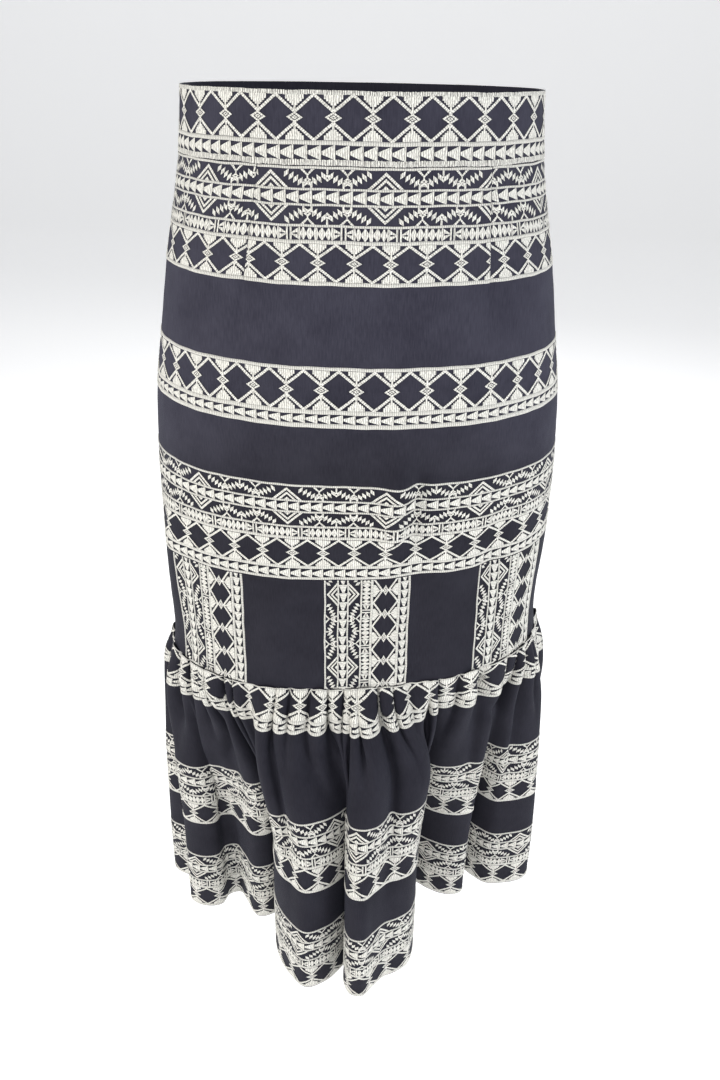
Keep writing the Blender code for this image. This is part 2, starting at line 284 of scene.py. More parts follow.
def crease_height(creases, at, drop):
    """How far the darts and drag lines lift or sink the cloth here."""
    height = np.zeros_like(at)
    for c in creases:
        q = (drop - c.top_drop) / (c.bottom_drop - c.top_drop)
        if not 0 <= q <= 1:
            continue
        line = c.top_at + (c.bottom_at - c.top_at) * q
        top = c.start + (1 - c.start) * ease(0, 0.35, q)
        bottom = c.end + (1 - c.end) * (1 - ease(0.65, 1, q))
        height = height + c.out * top * bottom * np.exp(-(((at - line) / c.half_width) ** 2))
    return height


def pucker(at, down):
    """Faint uneven waves that the stitching leaves in the cloth."""
    wave = np.sin(2 * math.pi * (at / PUCKER_LENGTH + 0.35 * np.sin(down / 0.011)))
    slow = np.sin(2 * math.pi * (at / 0.083 + down / 0.061)) * np.sin(2 * math.pi * down / 0.037)
    return PUCKER * (0.6 * wave + 0.9 * slow)


def tube_creases(at, drop, length):
    """The height of all the darts and drag lines of the tube, back and front, at one level."""
    back_at = (at + 0.5 * length) % length - 0.5 * length
    front_at = at % length - 0.5 * length
    height = crease_height(BACK_DARTS + BACK_DRAG_LINES, back_at, drop)
    return height + crease_height(FRONT_DARTS + FRONT_DRAG_LINES, front_at, drop)


tube_drops = np.linspace(0, SEAM_DROP, TUBE_ROWS)
tube_levels = [Outline(drop) for drop in tube_drops]
tube_lengths = np.array([level.length for level in tube_levels])
tube_sides = np.array([level.side for level in tube_levels])
tube_rows = []
for drop, level in zip(tube_drops, tube_levels):
    out = tube_creases(level.at, drop, level.length) + pucker(level.at, drop) * ease(0.0, 0.02, drop)
    x, y = level.place(level.at, out)
    tube_rows.append((x, y, -drop + level.right_lift * x / level.half_width))
tube = Surface(tube_rows)


def on_tube(at, drop, out):
    """Points of the tube's cloth, whose middle lies at out = 0."""
    length = np.interp(drop, tube_drops, tube_lengths)
    return tube.read(drop / SEAM_DROP, 0.5 + at / length, out)


# The cloth: a dark navy cotton in plain weave, matt, with slubs and a faint bluish nap. It carries
# its own map in metres of flat cloth, so the weave follows every fold. Its colour is painted paler
# over the hips and towards the sides: painted light, for the stronger light that falls there.
NAVY = (0.0094, 0.0090, 0.0141, 1)
NAVY_LIGHT = (0.0162, 0.0157, 0.0226, 1)
# Painted light: how much paler the cloth's colour is painted over the hips and towards the sides, where
# more light falls.
PALE_FROM, PALE_TO = -0.32, -0.15
PALER = 2.2
SIDES_PALER = 2.6
YARN = 0.00055
SLUB_SCALE = (900, 110, 1)
WEAR_SCALE = 22.0
BUMP_DEPTH = 0.0002


def add_node(tree, kind, settings=(), inputs=()):
    """A new shader node; each input gets a value, or is fed by an output of an earlier node."""
    node = tree.nodes.new(kind)
    for word, value in dict(settings).items():
        setattr(node, word, value)
    for word, value in dict(inputs).items():
        if isinstance(value, bpy.types.NodeSocket):
            tree.links.new(value, node.inputs[word])
        else:
            node.inputs[word].default_value = value
    return node


def reckon(tree, operation, *values):
    """The result of one piece of arithmetic."""
    return add_node(tree, "ShaderNodeMath", {"operation": operation}, dict(enumerate(values))).outputs[0]


def rise(tree, value, start, end, low=0.0, high=1.0, way="LINEAR"):
    """Goes from low to high while value goes from start to end."""
    inputs = {"Value": value, "From Min": start, "From Max": end, "To Min": low, "To Max": high}
    return add_node(tree, "ShaderNodeMapRange", {"interpolation_type": way}, inputs).outputs["Result"]


def noise(tree, place, scale, looks):
    """Uneven specks; a scale of three numbers stretches them."""
    if isinstance(scale, tuple):
        stretched = add_node(tree, "ShaderNodeMapping", inputs={"Vector": place, "Scale": scale})
        place, scale = stretched.outputs["Vector"], 1.0
    inputs = {"Vector": place, "Scale": scale, **looks}
    return add_node(tree, "ShaderNodeTexNoise", inputs=inputs).outputs["Fac"]


def tone_between(tree, share, low, high):
    """The tone between two ends, each a place and a colour."""
    ramp = add_node(tree, "ShaderNodeValToRGB", inputs={"Fac": share})
    for end, (place, colour) in zip(ramp.color_ramp.elements, (low, high)):
        end.position = place
        end.color = colour
    return ramp.outputs["Color"]


def finish_shader(tree, tone, height, strength):
    """Give the material's shader its tone and the relief of its surface."""
    relief = {"Strength": strength, "Distance": BUMP_DEPTH, "Height": height}
    bump = add_node(tree, "ShaderNodeBump", inputs=relief)
    shader = tree.nodes["Principled BSDF"]
    tree.links.new(tone, shader.inputs["Base Color"])
    tree.links.new(bump.outputs["Normal"], shader.inputs["Normal"])


def woven_cloth(name, seed):
    """The cloth; seed shifts its slubs, so no two pieces show the same ones."""
    looks = {
        "Roughness": 0.82,
        "Specular IOR Level": 0.12,
        "Sheen Weight": 0.03,
        "Sheen Roughness": 0.45,
        "Sheen Tint": (0.62, 0.70, 0.90, 1),
    }
    material = new_material(name, looks)
    tree = material.node_tree
    flat = add_node(tree, "ShaderNodeUVMap", {"uv_map": "cloth"}).outputs["UV"]
    shift = {"Vector": flat, "Location": (seed, 0.37 * seed, 0)}
    flat = add_node(tree, "ShaderNodeMapping", inputs=shift).outputs["Vector"]
    slubs = noise(tree, flat, SLUB_SCALE, {"Detail": 2.0})
    wear = noise(tree, flat, WEAR_SCALE, {"Detail": 4.0, "Roughness": 0.6})
    share = reckon(tree, "MULTIPLY_ADD", slubs, 0.45, reckon(tree, "MULTIPLY", wear, 0.6))
    tone = tone_between(tree, share, (0.36, NAVY), (0.66, NAVY_LIGHT))
    # Painted light: the tone is scaled up with the height and with the square of the distance from the
    # middle, to paint the hips and sides as lit.
    place = add_node(tree, "ShaderNodeTexCoord").outputs["Object"]
    place = add_node(tree, "ShaderNodeSeparateXYZ", inputs={"Vector": place}).outputs
    squared = reckon(tree, "MULTIPLY", place["X"], place["X"])
    lifted = reckon(tree, "MULTIPLY_ADD", squared, SIDES_PALER, place["Z"])
    painted_light = rise(tree, lifted, PALE_FROM, PALE_TO, 1.0, PALER, "SMOOTHSTEP")
    paler = add_node(tree, "ShaderNodeVectorMath", {"operation": "SCALE"}, {0: tone, "Scale": painted_light})
    along = add_node(tree, "ShaderNodeSeparateXYZ", inputs={"Vector": flat}).outputs
    warp, weft = (
        reckon(tree, "SINE", reckon(tree, "MULTIPLY", along[axis], math.pi / YARN)) for axis in ("X", "Y")
    )
    height = reckon(tree, "MULTIPLY_ADD", reckon(tree, "MULTIPLY", warp, weft), 0.5, slubs)
    finish_shader(tree, paler.outputs["Vector"], height, 0.45)
    return material


def read_all(items, word, width=1, kind=float):
    """This word of all the items in one array, width values for each."""
    values = np.zeros(len(items) * width, kind)
    items.foreach_get(word, values)
    return values.reshape(-1, width) if width > 1 else values


def grid_sheet(name, grid, flat_at, wall, material):
    """A sheet of cloth from rows of points on its outer skin, its wall laid on inwards."""
    points, cloth_at = np.array(grid), np.array(flat_at)
    rows, columns = points.shape[0] - 1, points.shape[1] - 1
    bpy.ops.object.select_all(action="DESELECT")
    bpy.ops.mesh.primitive_grid_add(x_subdivisions=columns, y_subdivisions=rows, size=2)
    piece = bpy.context.object
    piece.name = piece.data.name = name
    flat = read_all(piece.data.vertices, "co", 3)
    column = np.rint((flat[:, 0] + 1) / 2 * columns).astype(int)
    row = np.rint((1 - flat[:, 1]) / 2 * rows).astype(int)
    piece.data.vertices.foreach_set("co", points[row, column].ravel())
    corners = read_all(piece.data.loops, "vertex_index", kind=int)
    for layer in list(piece.data.uv_layers):
        piece.data.uv_layers.remove(layer)
    layer = piece.data.uv_layers.new(name="cloth")
    layer.uv.foreach_set("vector", cloth_at[row, column][corners].ravel())
    piece.data.update()
    shell = piece.modifiers.new("wall", "SOLIDIFY")
    shell.thickness = wall
    shell.offset = -1
    shell.use_even_offset = False
    bpy.ops.object.modifier_apply(modifier="wall")
    bpy.ops.object.shade_smooth_by_angle(angle=math.radians(60))
    piece.data.materials.append(material)
    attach(piece, "root")
    return piece


# The skirt panels, back and front: one layer of the cloth from the waistband to the flounce's seam,
# sewn together down the two sides. Their columns run along the darts, close together there.
SKIRT_WALL = 0.0016
CLOTH_THICKNESS = 0.0008
PANEL_ROWS = 100
DART_REACH = 0.006
PANEL_COLUMNS = (46, 8, 56, 8, 46)  # side, dart, middle, dart, side


def tube_reach(side, drop):
    """Where the middle of a panel of the tube lies, and how far the panel reaches to each side of it."""
    length, half = np.interp(drop, tube_drops, tube_lengths), np.interp(drop, tube_drops, tube_sides)
    return (0.0, half) if side == "back" else (0.5 * length, 0.5 * length - half)


def tube_sheet(name, side, drops, columns, wall, thickness, material):
    """A sheet on one side of the tube, and its widths; columns places its columns at a drop."""
    grid, flat_at, widths = [], [], []
    for drop in drops:
        middle, reach = tube_reach(side, drop)
        edge = reach - 0.5 * SEAM_GAP
        at = columns(drop, edge)
        grid.append(on_tube(at + middle, np.full(len(at), drop), np.full(len(at), 0.5 * wall)))
        flat_at.append(np.stack([at, np.full(len(at), -drop)], axis=1))
        widths.append(2 * edge)
    return grid_sheet(name + side, grid, flat_at, thickness, material), widths


def dart_line(dart, drop):
    """Where a dart lies at this drop; its line is carried on straight below its tip."""
    q = (drop - dart.top_drop) / (dart.bottom_drop - dart.top_drop)
    return dart.top_at + (dart.bottom_at - dart.top_at) * q


def panel_columns(darts, drop, edge):
    left, right = (dart_line(dart, drop) for dart in darts)
    stops = (-edge, left - DART_REACH, left + DART_REACH, right - DART_REACH, right + DART_REACH, edge)
    at = [np.linspace(a, b, n, endpoint=False) for a, b, n in zip(stops, stops[1:], PANEL_COLUMNS)]
    return np.concatenate(at + [[edge]])


for side, darts, seed in (("back", BACK_DARTS, 0.3), ("front", FRONT_DARTS, 1.9)):
    panel, widths = tube_sheet(
        "skirt_panel_",
        side,
        np.linspace(WAISTBAND_DEPTH + SEAM_GAP, SEAM_DROP, PANEL_ROWS + 1),
        lambda drop, edge: panel_columns(darts, drop, edge),
        SKIRT_WALL,
        CLOTH_THICKNESS,
        woven_cloth("cloth_" + side, seed),
    )
    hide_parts("skirt_" + side)


# The waistband, back and front: a straight strip doubled over, so it is thicker and its top edge is a
# rounded fold. It is sewn to the top of the panels.
WAISTBAND_WALL = 0.0022
WAISTBAND_THICKNESS = 0.0016
WAISTBAND_ROWS = 12
WAISTBAND_COLUMNS = 120
FOLD_RADIUS = 0.0005

for side, seed in (("back", 4.1), ("front", 5.7)):
    band, widths = tube_sheet(
        "waistband_cloth_",
        side,
        np.linspace(0, WAISTBAND_DEPTH, WAISTBAND_ROWS + 1),
        lambda drop, edge: np.linspace(-edge, edge, WAISTBAND_COLUMNS + 1),
        WAISTBAND_WALL,
        WAISTBAND_THICKNESS,
        woven_cloth("waistband_weave_" + side, seed),
    )
    rounded = band.modifiers.new("fold", "BEVEL")
    rounded.width = FOLD_RADIUS
    rounded.segments = 2
    rounded.limit_method = "ANGLE"
    rounded.angle_limit = math.radians(60)
    bpy.ops.object.modifier_apply(modifier="fold")
    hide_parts("waistband_" + side)


# The flounce: one long strip gathered into the tube's lower seam. Its gathers run down into wider
# folds and single creases and then into the large folds of the hem. A place on it is the length
# round the flat strip from the centre back, and the share of its cut from the seam to the hem.
FLOUNCE_CUT = 0.368
# The hem's folds: how far round from the centre back each one lies, and how far out it stands.
HEM_FOLDS = (
    (-0.265, 0.012), (-0.236, -0.014), (-0.208, 0.004), (-0.184, -0.004), (-0.172, -0.016),
    (-0.174, -0.030), (-0.160, -0.040), (-0.140, -0.032), (-0.116, -0.018), (-0.099, -0.026),
    (-0.091, -0.042), (-0.089, -0.022), (-0.084, 0.006), (-0.074, 0.030), (-0.058, 0.053),
    (-0.040, 0.070), (-0.022, 0.060), (-0.008, 0.042), (0.002, 0.026), (-0.002, 0.044),
    (-0.003, 0.062), (0.004, 0.080), (0.013, 0.083), (0.024, 0.070), (0.036, 0.057),
    (0.048, 0.052), (0.060, 0.044), (0.069, 0.026), (0.075, -0.006), (0.079, -0.042),
    (0.085, -0.062), (0.096, -0.066), (0.112, -0.054), (0.128, -0.042), (0.145, -0.034),
    (0.160, -0.034), (0.167, -0.048), (0.165, -0.062), (0.177, -0.068), (0.191, -0.064),
    (0.194, -0.046), (0.199, -0.026), (0.214, -0.010), (0.242, 0.013), (0.268, -0.010),
    (0.300, 0.016), (0.335, -0.020), (0.375, 0.024), (0.412, -0.022), (0.450, 0.018),
    (0.488, -0.018), (0.530, 0.026), (0.570, -0.024), (0.612, 0.022), (0.650, -0.022),
    (0.692, 0.020), (0.730, -0.020), (0.772, 0.020), (0.808, -0.012),
)
FLOUNCE_CREASES = (
    Crease(-0.374, -0.4, 0.03, 0.15, -0.006, 0.01, 0.7),
    Crease(-0.262, -0.318, 0.03, 0.14, -0.007, 0.01, 0.8),
    Crease(-0.15, -0.14, 0.05, 0.17, 0.004, 0.014, 0.3),
    Crease(-0.103, -0.078, 0.038, 0.135, -0.0055, 0.008, 0.6),
    Crease(-0.068, -0.038, 0.036, 0.088, -0.0065, 0.007, 0.8),
    Crease(0.03, 0.034, 0.05, 0.16, 0.003, 0.012, 0.3),
    Crease(0.074, 0.07, 0.03, 0.078, -0.006, 0.006, 0.8),
    Crease(0.155, 0.146, 0.02, 0.082, -0.008, 0.012, 0.8),
    Crease(0.245, 0.29, 0.015, 0.092, -0.006, 0.009, 0.8),
    Crease(0.297, 0.318, 0.022, 0.088, -0.0055, 0.007, 0.8),
    Crease(0.36, 0.38, 0.02, 0.084, -0.0055, 0.008, 0.8),
    Crease(0.52, 0.535, 0.025, 0.11, -0.006, 0.009, 0.8),
    Crease(0.6, 0.585, 0.03, 0.14, -0.007, 0.011, 0.7),
    Crease(0.69, 0.705, 0.025, 0.085, -0.0055, 0.007, 0.8),
    Crease(0.78, 0.762, 0.03, 0.12, -0.006, 0.009, 0.8),
    Crease(0.862, 0.872, 0.02, 0.09, -0.006, 0.008, 0.8),
    Crease(-0.85, -0.835, 0.03, 0.13, -0.006, 0.01, 0.7),
    Crease(-0.765, -0.78, 0.025, 0.085, -0.0055, 0.007, 0.8),
    Crease(-0.675, -0.655, 0.025, 0.12, -0.0065, 0.009, 0.8),
    Crease(-0.59, -0.598, 0.02, 0.09, -0.006, 0.008, 0.8),
)
GATHERS = 56
MIDDLE_FOLDS = 29
MERGE_FROM, MERGE_TO = 0.02, 0.35  # where the gathers merge into the middle folds
GATHER_SWING = 1.58
FOLD_BACK = 2.3  # the steepest a gather may turn back, in radians
GATHER_SPREAD = 0.100
GATHERS_END = 0.74
SEAM_PRESS = 0.50
SEAM_PUFF = 0.0030
PUFF_END = 0.05
PUFFED_FROM, PUFFED_TO = 0.0008, 0.0034  # only what stands out this far puffs up
GATHER_DEPTH = 1.0
SEAM_PRESS_END = 0.07
FLUSH_END = 0.16
FLOUNCE_SIDE_SEAMS = (-0.5291, 0.4643)
FOLD_GROWTH = 0.98
FOLLOW_AT_SEAM = 0.45
FOLLOW_END = 0.55
CLOTH_STEPS = 2400
FLOUNCE_LATTICE_ROWS = 185
FLOUNCE_ROWS = 60
ROWS_AT_SEAM = 1.25
FLOUNCE_COLUMN = 0.0022


class Flounce:
    """The gathered strip: where each point of its cloth lies, from the seam down to the hem."""

    def __init__(self):
        hem = Outline(SEAM_DROP + FLOUNCE_CUT)
        count = len(HEM_FOLDS)
        at, out = np.array(HEM_FOLDS).T
        at = np.concatenate([at[-2:] - hem.length, at, at[:3] + hem.length])
        out = np.concatenate([out[-2:], out, out[:3]])
        chord = np.concatenate([[0], np.cumsum(np.hypot(np.diff(at), np.diff(out)) ** 0.75)])
        fine = np.linspace(chord[2], chord[2 + count], 4000)
        around, off = through(chord, at, fine), through(chord, out, fine)
        bend = hem.read(hem.bend, around)
        stretch = 1 + 0.5 * (bend[1:] * off[1:] + bend[:-1] * off[:-1])
        walked = np.concatenate([[0], np.cumsum(np.hypot(np.diff(around) * stretch, np.diff(off)))])
        self.round = walked[-1]
        walked = walked - walked[np.flatnonzero((around[:-1] < 0) & (around[1:] >= 0))[-1]]
        self.cloth = np.linspace(-self.round / 2, self.round / 2, CLOTH_STEPS + 1)
        self.step = self.round / CLOTH_STEPS
        self.hem_length = hem.length
        self.hem_at = self.repeated(walked, around, hem.length)
        self.hem_out = self.repeated(walked, off, 0.0)
        self.gathers = self.ripple(GATHERS, 0.7)
        self.middle_folds = self.ripple(MIDDLE_FOLDS, 2.9)

    def repeated(self, walked, values, gain):
        """values on the even cloth lengths, though they were worked out over another full round."""
        rounds = [walked - self.round, walked, walked + self.round]
        return np.interp(
            self.cloth, np.concatenate(rounds), np.concatenate([values - gain, values, values + gain])
        )

    def ripple(self, count, start):
        """An uneven row of waves round the cloth; the numbers keep it from repeating itself."""
        turn = 2 * math.pi * self.cloth / self.round
        phase = count * turn + 1.1 * np.sin(3 * turn + start) + 0.8 * np.sin(7 * turn + 2.3 * start)
        phase = phase + 1.05 * np.sin(17 * turn + 0.9 * start)
        size = 0.96 + 0.24 * np.sin(5 * turn + 1.7 * start) + 0.26 * np.sin(11 * turn + 0.6 * start)
        size = size + 0.36 * np.sin(23 * turn + 1.3 * start)
        return size * (np.sin(phase) + 0.42 * np.sin(2 * phase) + 0.18 * np.sin(3 * phase))

    def without_bulge(self, height):
        """height less its running mean, so that gathers don't move the whole wall."""
        count = int(GATHER_SPREAD / self.step) | 1
        kernel = np.hanning(count + 2)[1:-1]
        kernel /= kernel.sum()
        body = height[:-1]
        half = count // 2
        mean = np.convolve(np.concatenate([body[-half:], body, body[:half]]), kernel, "valid")
        return height - np.concatenate([mean, mean[:1]])

    def walk(self, rate):
        return np.concatenate([[0], np.cumsum(0.5 * (rate[1:] + rate[:-1]) * self.step)])

    def row(self, share):
        """All points of the cloth at this share of its cut, from 0 at the seam to 1 at the hem."""
        outline = Outline(SEAM_DROP + share * FLOUNCE_CUT)
        grown = math.sin(0.5 * math.pi * share) ** FOLD_GROWTH
        merged = ease(MERGE_FROM, MERGE_TO, share)
        swing = GATHER_SWING * (1 - ease(0.0, GATHERS_END, share))
        turn = swing * ((1 - merged) * self.gathers + merged * self.middle_folds)
        turn = FOLD_BACK * np.tanh(turn / FOLD_BACK)
        around = self.walk(np.cos(turn))
        around = (around - around[CLOTH_STEPS // 2]) / around[-1]
        height = self.walk(np.sin(turn))
        height = self.without_bulge(height - height[-1] * np.linspace(0, 1, CLOTH_STEPS + 1))
        follow = FOLLOW_AT_SEAM + (1 - FOLLOW_AT_SEAM) * ease(0.0, FOLLOW_END, share)
        bunched = self.hem_at / self.hem_length - self.cloth / self.round
        at = (around + follow * bunched) * outline.length
        press = SEAM_PRESS + (GATHER_DEPTH - SEAM_PRESS) * ease(0.0, SEAM_PRESS_END, share)
        crease = crease_height(FLOUNCE_CREASES, self.cloth, share * FLOUNCE_CUT)
        flush = (1 - ease(0.0, FLUSH_END, share)) * tube_creases(at, SEAM_DROP, outline.length)
        gathered = press * height
        x, y = outline.place(at, gathered + grown * self.hem_out + crease + flush)
        puff = SEAM_PUFF * ease(PUFFED_FROM, PUFFED_TO, gathered) * (1 - ease(0.0, PUFF_END, share))
        hang = np.sqrt(FLOUNCE_CUT**2 - self.hem_out**2)
        drop = SEAM_DROP + SEAM_GAP + share * hang - puff
        return x, y, -drop + outline.right_lift / outline.half_width * x


strip = Flounce()
flounce = Surface([strip.row(share) for share in np.linspace(0, 1, FLOUNCE_LATTICE_ROWS)])


def on_flounce(at, down, out):
    """Points of the flounce's cloth; down is measured on the cloth from its seam."""
    return flounce.read(down / FLOUNCE_CUT, 0.5 + at / strip.round, out)


left_seam, right_seam = FLOUNCE_SIDE_SEAMS
FLOUNCE_ENDS = {"back": (left_seam, right_seam), "front": (right_seam, left_seam + strip.round)}
for side, seed in (("back", 7.3), ("front", 8.9)):
    first, last = FLOUNCE_ENDS[side]
    columns = round((last - first) / FLOUNCE_COLUMN)
    at = np.linspace(first + 0.5 * SEAM_GAP, last - 0.5 * SEAM_GAP, columns + 1)
    grid, flat_at = [], []
    for down in FLOUNCE_CUT * np.linspace(0, 1, FLOUNCE_ROWS + 1) ** ROWS_AT_SEAM:
        level_down = np.full(len(at), down)
        grid.append(on_flounce(at, level_down, np.full(len(at), 0.5 * SKIRT_WALL)))
        flat_at.append(np.stack([at, -level_down], axis=1))
    weave = woven_cloth("flounce_weave_" + side, seed)
    tier = grid_sheet("flounce_tier_" + side, grid, flat_at, CLOTH_THICKNESS, weave)
    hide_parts("flounce_" + side)


# The embroidery thread: thick ivory cotton laid as satin stitch. Each motif carries its own map in
# metres, with the stitches running along its second axis, so the ridges of the stitches lie across
# bars and lines as they are sewn.
IVORY = (0.705, 0.695, 0.638, 1)
# The grooves between the stitches are painted in this dark colour: painted shade.
GROOVE_PAINTED_SHADE = (0.170, 0.160, 0.145, 1)
STITCH = 0.0018
STRAND = 0.0006
THREAD_WANDER = 320.0
FIBRE_SCALE = (1500, 420, 1)


def embroidery_thread():
    """The thread, with grooves between its stitches painted dark as shade, and fine strands along them."""
    looks = {"Roughness": 0.62, "Specular IOR Level": 0.30, "Sheen Weight": 0.08, "Sheen Roughness": 0.5}
    material = new_material("ivory_thread", looks)
    tree = material.node_tree
    sewn = add_node(tree, "ShaderNodeUVMap", {"uv_map": "stitches"}).outputs["UV"]
    across = add_node(tree, "ShaderNodeSeparateXYZ", inputs={"Vector": sewn}).outputs["X"]
    drift = reckon(tree, "MULTIPLY", noise(tree, sewn, THREAD_WANDER, {"Detail": 2.0}), 7.0)
    stitch, strand = (
        reckon(tree, "SINE", reckon(tree, "MULTIPLY_ADD", across, 2 * math.pi / spacing, drift))
        for spacing in (STITCH, STRAND)
    )
    specks = rise(tree, noise(tree, sewn, FIBRE_SCALE, {"Detail": 2.0}), 0.30, 0.56, 0.30, 1.0)
    # Painted shade: the tone falls to the dark groove colour in the grooves between the stitches; the
    # specks darken it at random.
    share = reckon(tree, "MULTIPLY", rise(tree, stitch, -1.05, -0.45), specks)
    tone = tone_between(tree, share, (0.0, GROOVE_PAINTED_SHADE), (1.0, IVORY))
    finish_shader(tree, tone, reckon(tree, "MULTIPLY_ADD", strand, 0.4, stitch), 0.6)
    return material


thread = embroidery_thread()

# The motifs. Each is charted once on a flat cell, as patches of satin stitch given by their corners:
# the first number runs along the band in pitches of the diamonds, the second down the row in shares
# of its height. A patch is then cut into short lengths, so it can bend with the cloth, and raised
# into a low cushion of thread. The last word of a patch is the way its stitches lie.
PITCH = 0.028
THREAD_EDGE = 0.00035
THREAD_HEIGHT = 0.00060
THREAD_SUNK = 0.00015
CELL = 0.0042
GATHERED_CELL = 0.0026
CUT_ASIDE = 1e-5  # keeps a cut off the corners of a patch
UPRIGHT, FALLING, RISING = 0, 1, 2
TURNED = (UPRIGHT, RISING, FALLING)
Motif = namedtuple("Motif", "points corners starts stitches period height")


def mirrored(patches):
    """The same patches, left and right changed over."""
    return [([(-u, v) for u, v in corners], TURNED[way]) for corners, way in patches]


def flipped(patches):
    """The same patches upside down."""
    return [([(u, 1 - v) for u, v in corners], TURNED[way]) for corners, way in patches]


def moved(patches, by):
    return [([(u + by, v) for u, v in corners], way) for corners, way in patches]


def sewn_motif(name, patches, row_height, period, cell=CELL):
    """Model one cell of a row of embroidery and read it back as a Motif."""
    bpy.ops.object.select_all(action="DESELECT")
    bpy.ops.object.add(type="MESH")
    work = bpy.context.object
    work.name = name
    bpy.ops.object.mode_set(mode="EDIT")
    for corners, way in patches:
        corners = [(u * PITCH, -v * row_height) for u, v in corners]
        turn = sum(a[0] * b[1] - b[0] * a[1] for a, b in zip(corners, corners[1:] + corners[:1]))
        if turn < 0:
            corners.reverse()
        bpy.ops.mesh.select_all(action="DESELECT")
        bpy.ops.mesh.primitive_circle_add(vertices=len(corners), fill_type="NGON")
        shape = bmesh.from_edit_mesh(work.data)
        face = next(f for f in shape.faces if f.select)
        for loop, (across, up) in zip(face.loops, corners):
            loop.vert.co = (across, up, 0)
        face.normal_update()
        face.material_index = way
        bmesh.update_edit_mesh(work.data)
    shape = bmesh.from_edit_mesh(work.data)
    spans = [(min(v.co[k] for v in shape.verts), max(v.co[k] for v in shape.verts)) for k in (0, 1)]
    for facing, (low, high) in zip(((1.0, 0.0, 0.0), (0.0, 1.0, 0.0)), spans):
        cuts = int((high - low) / cell)
        for n in range(1, cuts + 1):
            at = low + (high - low) * n / (cuts + 1) + CUT_ASIDE
            bpy.ops.mesh.select_all(action="SELECT")
            bpy.ops.mesh.bisect(plane_co=[at * f for f in facing], plane_no=facing)
    shape = bmesh.from_edit_mesh(work.data)
    faces = list(shape.faces)
    bottom = bmesh.ops.duplicate(shape, geom=shape.verts[:] + shape.edges[:] + faces)
    under = [g for g in bottom["geom"] if isinstance(g, bmesh.types.BMFace)]
    bmesh.ops.reverse_faces(shape, faces=under)
    bmesh.ops.inset_region(
        shape, faces=faces, thickness=THREAD_EDGE, depth=THREAD_HEIGHT + THREAD_SUNK, use_even_offset=False
    )
    bmesh.ops.remove_doubles(shape, verts=shape.verts[:], dist=1e-6)
    bmesh.update_edit_mesh(work.data)
    bpy.ops.object.mode_set(mode="OBJECT")
    mesh = work.data
    points = read_all(mesh.vertices, "co", 3)
    corners = read_all(mesh.loops, "vertex_index", kind=int)
    starts = read_all(mesh.polygons, "loop_start", kind=int)
    totals = read_all(mesh.polygons, "loop_total", kind=int)
    way = np.repeat(read_all(mesh.polygons, "material_index", kind=int), totals)
    across, up = points[corners, 0], points[corners, 1]
    slant = np.choose(way, [0.0, -math.pi / 4, math.pi / 4])
    along, over = across * np.cos(slant) + up * np.sin(slant), up * np.cos(slant) - across * np.sin(slant)
    stitches = np.stack([along, over], axis=1)
    bpy.data.objects.remove(work, do_unlink=True)
    return Motif(points, corners, starts, stitches, period * PITCH, row_height)


def upright_bar(left, right, top=0.0, bottom=1.0):
    return ([(left, top), (right, top), (right, bottom), (left, bottom)], UPRIGHT)


# The lattice of large diamonds: crossing bars, a small double rhombus where they cross, and stepped
# blocks of upright stitches above and below it.
LATTICE_HEIGHT = 0.0290
RHOMB_WIDTH = 0.220
RHOMB_HEIGHT = 0.122
BAR_TOP = -0.035
BAR_THICK = 0.085
BAR_END = 0.415


def rhomb_ring(width, height, inner, middle_v=0.5):
    """The left half of a rhombus outline, as two patches."""
    thin_w, thin_h = width * inner, height * inner
    upper = [(-width, 0), (0, -height), (0, -thin_h), (-thin_w, 0)]
    lower = [(-width, 0), (-thin_w, 0), (0, thin_h), (0, height)]
    shift = [[(u, v + middle_v) for u, v in part] for part in (upper, lower)]
    return [(shift[0], RISING), (shift[1], FALLING)]


bar_corners = [(-0.5, BAR_TOP), (-0.5, BAR_TOP + BAR_THICK), (0, BAR_END), (0, BAR_END - BAR_THICK)]
half_bar = [(bar_corners, FALLING)]
half_lattice = half_bar + flipped(half_bar)
half_lattice += rhomb_ring(RHOMB_WIDTH, RHOMB_HEIGHT, 0.58) + rhomb_ring(0.090, 0.050, 0.30)
STEPS = ((0.240, 0.100), (0.190, 0.148), (0.135, 0.190), (0.080, 0.232), (0.026, 0.345))
block_left, block_right, above = [], [], 0.0
for half_width, below in STEPS:
    block_left += [(-half_width, above), (-half_width, below)]
    block_right += [(half_width, above), (half_width, below)]
    above = below
stepped_block = [(block_left + block_right[::-1], UPRIGHT)]
lattice_patches = half_lattice + mirrored(half_lattice) + stepped_block + flipped(stepped_block)
lattice = sewn_motif("lattice", lattice_patches, LATTICE_HEIGHT, 1.0)
gathered_lattice = sewn_motif("gathered_lattice", lattice_patches, LATTICE_HEIGHT, 1.0, GATHERED_CELL)

# The row of arrows: narrow solid triangles that follow one another, each against an upright bar.
ARROW_HEIGHT = 0.0090
ARROW_PITCH = 0.363
arrow_patches = [
    ([(0.0, 0.40), (0.297, 0.03), (0.297, 0.97), (0.0, 0.63)], UPRIGHT),
    upright_bar(0.300, 0.345),
]
arrows = sewn_motif("arrows", arrow_patches, ARROW_HEIGHT, ARROW_PITCH)
gathered_arrows = sewn_motif("gathered_arrows", arrow_patches, ARROW_HEIGHT, ARROW_PITCH, GATHERED_CELL)

# The row of chevrons and garlands: nested chevrons stand on the line, and between two of them hangs
# a garland of small leaves in two swags, with a knot of thread between them, a drop above each low
# point and two legs below it.
GARLAND_HEIGHT = 0.0135
GARLAND_PITCH = 3.1
GARLAND_MIDDLE = 1.55
SWAG_FROM_MIDDLE = 0.535
LEAVES = ((0.195, 0.65), (0.315, 0.515), (0.440, 0.37))
TOP_LEAF = (0.575, 0.225)
CHEVRONS = ((0.08, 0.20), (0.42, 0.18))
CHEVRON_SLOPE = 0.53


